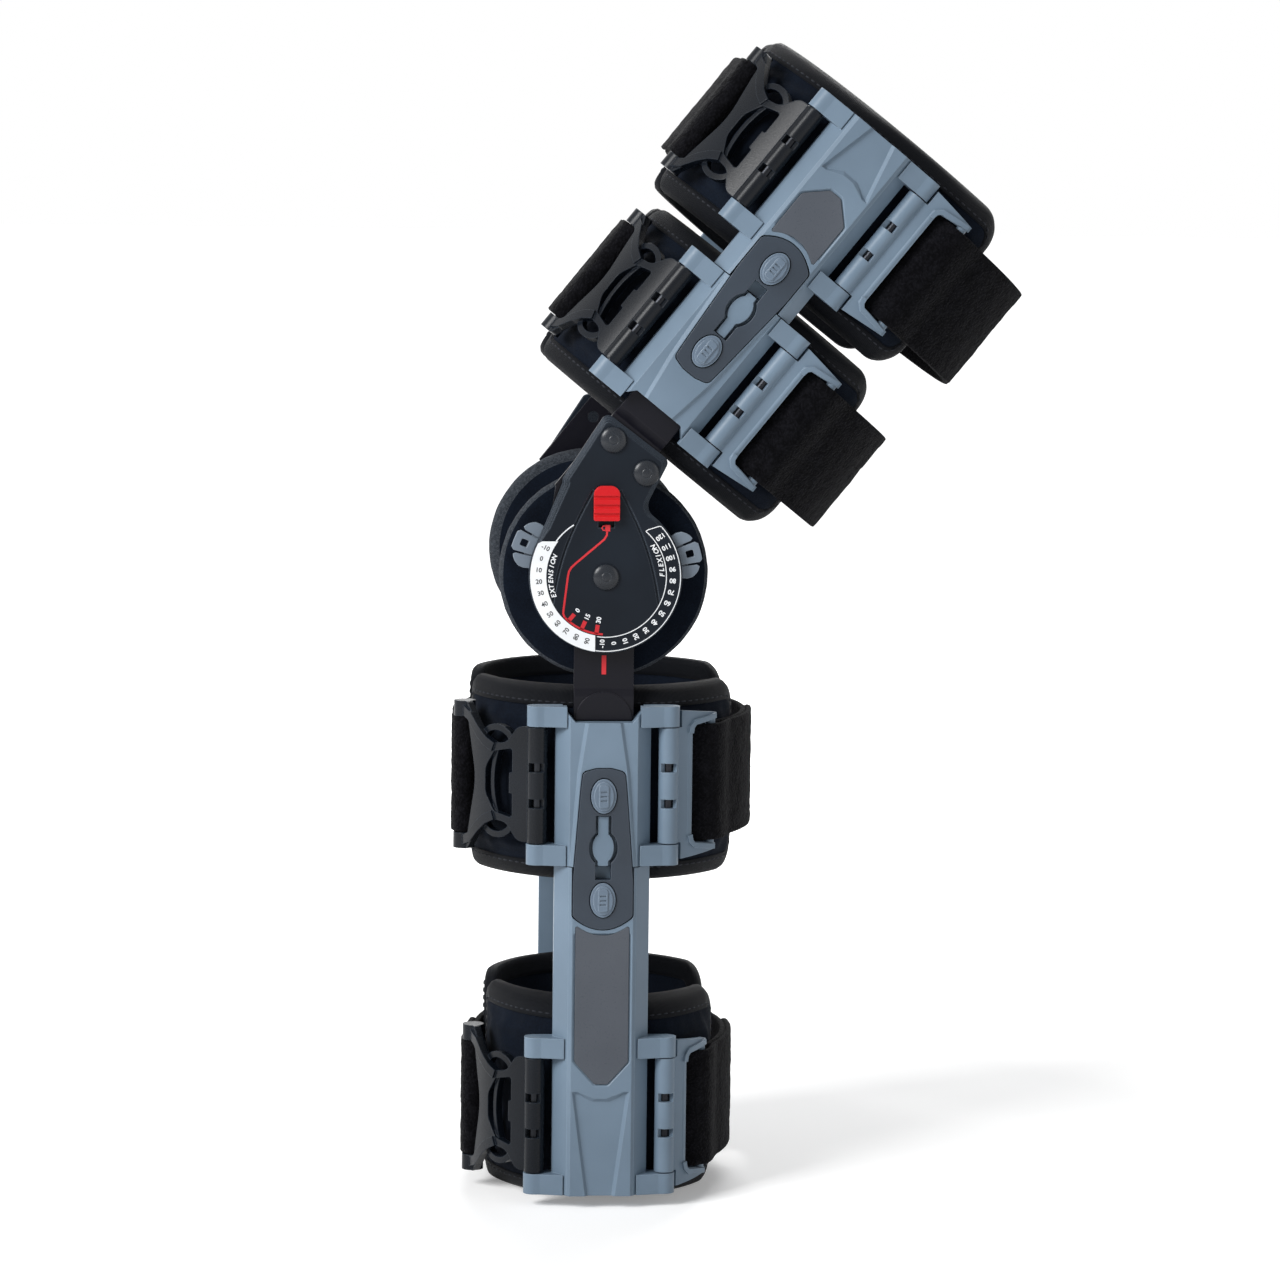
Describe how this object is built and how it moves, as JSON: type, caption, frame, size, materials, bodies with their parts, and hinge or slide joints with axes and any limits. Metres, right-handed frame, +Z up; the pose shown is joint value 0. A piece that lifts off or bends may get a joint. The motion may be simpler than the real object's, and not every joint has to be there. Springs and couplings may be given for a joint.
{
  "type": "hinged knee brace",
  "caption": "Hinged knee brace with telescoping side struts, range-of-motion dial hinges, padded cuffs, quick-release buckles and straps, bent as worn.",
  "frame": {"origin": "middle of the knee, on the hinge axis, halfway between the two hinges", "axes": "+Z up with the calf hanging straight down, -X to the front of the leg, +X to its rear, -Y to its outer side; the knee bends about Y"},
  "size_m": [0.243, 0.1722, 0.4881],
  "materials": {
    "frame": "moulded blue-grey plastic with a fine satin grain",
    "cover": "charcoal moulded plastic with printed scales",
    "bar": "black anodised aluminium",
    "track": "gunmetal plastic",
    "label": "satin dark grey panel",
    "button": "blue-grey plastic buttons",
    "steel": "dark satin steel",
    "lock": "red ribbed plastic",
    "stop": "light grey plastic",
    "hinge_pad": "black loop fabric over foam with a grey edge",
    "cuff_pad": "navy-black brushed fabric over foam with stitched binding",
    "strap": "black loop-pile strap",
    "buckle": "black acetal"
  },
  "bodies": {
    "thigh": {"hinge_cover_lateral": "cover", "hinge_cover_medial": "cover", "hinge_back_plates": "steel", "hinge_rivets": "steel", "hinge_pads": "hinge_pad", "thigh_bar_lateral": "bar", "thigh_bar_medial": "bar", "thigh_inner_frame_lateral": "frame", "thigh_inner_frame_medial": "frame", "thigh_tracks": "track", "thigh_inner_pins": "steel", "lower_thigh_pads": "cuff_pad", "lower_thigh_front_strap": "strap", "lower_thigh_rear_strap": "strap"},
    "thigh_outer": {"thigh_outer_frame_lateral": "frame", "thigh_outer_frame_medial": "frame", "thigh_label_plates": "label", "thigh_outer_pins": "steel", "upper_thigh_pads": "cuff_pad", "upper_thigh_front_strap": "strap", "upper_thigh_rear_strap": "strap"},
    "calf": {"calf_bar_lateral": "bar", "calf_bar_medial": "bar", "calf_inner_frame_lateral": "frame", "calf_inner_frame_medial": "frame", "calf_tracks": "track", "calf_inner_pins": "steel", "upper_calf_pads": "cuff_pad", "upper_calf_front_strap": "strap", "upper_calf_rear_strap": "strap"},
    "calf_outer": {"calf_outer_frame_lateral": "frame", "calf_outer_frame_medial": "frame", "calf_label_plates": "label", "calf_outer_pins": "steel", "lower_calf_pads": "cuff_pad", "lower_calf_front_strap": "strap", "lower_calf_rear_strap": "strap"},
    "thigh_near_button_lateral": {"thigh_near_button_lateral": "button"},
    "thigh_near_button_medial": {"thigh_near_button_medial": "button"},
    "thigh_far_button_lateral": {"thigh_far_button_lateral": "button"},
    "thigh_far_button_medial": {"thigh_far_button_medial": "button"},
    "calf_near_button_lateral": {"calf_near_button_lateral": "button"},
    "calf_near_button_medial": {"calf_near_button_medial": "button"},
    "calf_far_button_lateral": {"calf_far_button_lateral": "button"},
    "calf_far_button_medial": {"calf_far_button_medial": "button"},
    "quick_lock_lateral": {"quick_lock_lateral": "lock"},
    "extension_stop_lateral": {"extension_stop_lateral": "stop"},
    "flexion_stop_lateral": {"flexion_stop_lateral": "stop"},
    "quick_lock_medial": {"quick_lock_medial": "lock"},
    "extension_stop_medial": {"extension_stop_medial": "stop"},
    "flexion_stop_medial": {"flexion_stop_medial": "stop"},
    "upper_thigh_buckle": {"upper_thigh_buckle": "buckle"},
    "upper_thigh_loop": {"upper_thigh_loop": "frame"},
    "lower_thigh_buckle": {"lower_thigh_buckle": "buckle"},
    "lower_thigh_loop": {"lower_thigh_loop": "frame"},
    "upper_calf_buckle": {"upper_calf_buckle": "buckle"},
    "upper_calf_loop": {"upper_calf_loop": "frame"},
    "lower_calf_buckle": {"lower_calf_buckle": "buckle"},
    "lower_calf_loop": {"lower_calf_loop": "frame"}
  },
  "joints": [
    {"name": "knee", "type": "hinge", "parent": "thigh", "child": "calf", "pos_m": [0, 0, 0], "axis": [0, -1, 0], "range_deg": [-49, 46]},
    {"name": "thigh_length", "type": "slide", "parent": "thigh", "child": "thigh_outer", "axis": [0.6293, 0, 0.7771], "range_m": [0, 0.045]},
    {"name": "calf_length", "type": "slide", "parent": "calf", "child": "calf_outer", "axis": [0, 0, -1], "range_m": [0, 0.075]},
    {"name": "thigh_near_button_lateral_press", "type": "slide", "parent": "thigh", "child": "thigh_near_button_lateral", "axis": [0, 1, 0], "range_m": [0, 0.0015], "stiffness_N_per_m": 500, "springref_m": -0.001},
    {"name": "thigh_near_button_medial_press", "type": "slide", "parent": "thigh", "child": "thigh_near_button_medial", "axis": [0, -1, 0], "range_m": [0, 0.0015], "stiffness_N_per_m": 500, "springref_m": -0.001},
    {"name": "thigh_far_button_lateral_press", "type": "slide", "parent": "thigh", "child": "thigh_far_button_lateral", "axis": [0, 1, 0], "range_m": [0, 0.0015], "stiffness_N_per_m": 500, "springref_m": -0.001},
    {"name": "thigh_far_button_medial_press", "type": "slide", "parent": "thigh", "child": "thigh_far_button_medial", "axis": [0, -1, 0], "range_m": [0, 0.0015], "stiffness_N_per_m": 500, "springref_m": -0.001},
    {"name": "calf_near_button_lateral_press", "type": "slide", "parent": "calf", "child": "calf_near_button_lateral", "axis": [0, 1, 0], "range_m": [0, 0.0015], "stiffness_N_per_m": 500, "springref_m": -0.001},
    {"name": "calf_near_button_medial_press", "type": "slide", "parent": "calf", "child": "calf_near_button_medial", "axis": [0, -1, 0], "range_m": [0, 0.0015], "stiffness_N_per_m": 500, "springref_m": -0.001},
    {"name": "calf_far_button_lateral_press", "type": "slide", "parent": "calf", "child": "calf_far_button_lateral", "axis": [0, 1, 0], "range_m": [0, 0.0015], "stiffness_N_per_m": 500, "springref_m": -0.001},
    {"name": "calf_far_button_medial_press", "type": "slide", "parent": "calf", "child": "calf_far_button_medial", "axis": [0, -1, 0], "range_m": [0, 0.0015], "stiffness_N_per_m": 500, "springref_m": -0.001},
    {"name": "quick_lock_lateral_slide", "type": "slide", "parent": "thigh", "child": "quick_lock_lateral", "axis": [0, 0, -1], "range_m": [0, 0.005]},
    {"name": "extension_stop_lateral_set", "type": "hinge", "parent": "thigh", "child": "extension_stop_lateral", "pos_m": [0, 0, 0], "axis": [0, -1, 0], "range_deg": [0, 100]},
    {"name": "flexion_stop_lateral_set", "type": "hinge", "parent": "thigh", "child": "flexion_stop_lateral", "pos_m": [0, 0, 0], "axis": [0, -1, 0], "range_deg": [-108, 20]},
    {"name": "quick_lock_medial_slide", "type": "slide", "parent": "thigh", "child": "quick_lock_medial", "axis": [0, 0, -1], "range_m": [0, 0.005]},
    {"name": "extension_stop_medial_set", "type": "hinge", "parent": "thigh", "child": "extension_stop_medial", "pos_m": [0, 0, 0], "axis": [0, -1, 0], "range_deg": [0, 100]},
    {"name": "flexion_stop_medial_set", "type": "hinge", "parent": "thigh", "child": "flexion_stop_medial", "pos_m": [0, 0, 0], "axis": [0, -1, 0], "range_deg": [-108, 20]},
    {"name": "upper_thigh_buckle_swing", "type": "hinge", "parent": "thigh_outer", "child": "upper_thigh_buckle", "pos_m": [0.06958, -0.0757, 0.17411], "axis": [0.6293, 0, 0.7771], "range_deg": [0, 18], "deforming": ["upper_thigh_front_strap"]},
    {"name": "upper_thigh_loop_swing", "type": "hinge", "parent": "thigh_outer", "child": "upper_thigh_loop", "pos_m": [0.11232, -0.0757, 0.1395], "axis": [-0.6293, 0, -0.7771], "range_deg": [0, 18], "deforming": ["upper_thigh_rear_strap"]},
    {"name": "lower_thigh_buckle_swing", "type": "hinge", "parent": "thigh", "child": "lower_thigh_buckle", "pos_m": [0.01672, -0.0757, 0.10883], "axis": [0.6293, 0, 0.7771], "range_deg": [0, 18], "deforming": ["lower_thigh_front_strap"]},
    {"name": "lower_thigh_loop_swing", "type": "hinge", "parent": "thigh", "child": "lower_thigh_loop", "pos_m": [0.05946, -0.0757, 0.07422], "axis": [-0.6293, 0, -0.7771], "range_deg": [0, 18], "deforming": ["lower_thigh_rear_strap"]},
    {"name": "upper_calf_buckle_swing", "type": "hinge", "parent": "calf", "child": "upper_calf_buckle", "pos_m": [-0.0275, -0.072, -0.0881], "axis": [0, 0, 1], "range_deg": [0, 18], "deforming": ["upper_calf_front_strap"]},
    {"name": "upper_calf_loop_swing", "type": "hinge", "parent": "calf", "child": "upper_calf_loop", "pos_m": [0.0275, -0.072, -0.0881], "axis": [0, 0, -1], "range_deg": [0, 18], "deforming": ["upper_calf_rear_strap"]},
    {"name": "lower_calf_buckle_swing", "type": "hinge", "parent": "calf_outer", "child": "lower_calf_buckle", "pos_m": [-0.0275, -0.072, -0.2285], "axis": [0, 0, 1], "range_deg": [0, 18], "deforming": ["lower_calf_front_strap"]},
    {"name": "lower_calf_loop_swing", "type": "hinge", "parent": "calf_outer", "child": "lower_calf_loop", "pos_m": [0.0275, -0.072, -0.2285], "axis": [0, 0, -1], "range_deg": [0, 18], "deforming": ["lower_calf_rear_strap"]}
  ]
}
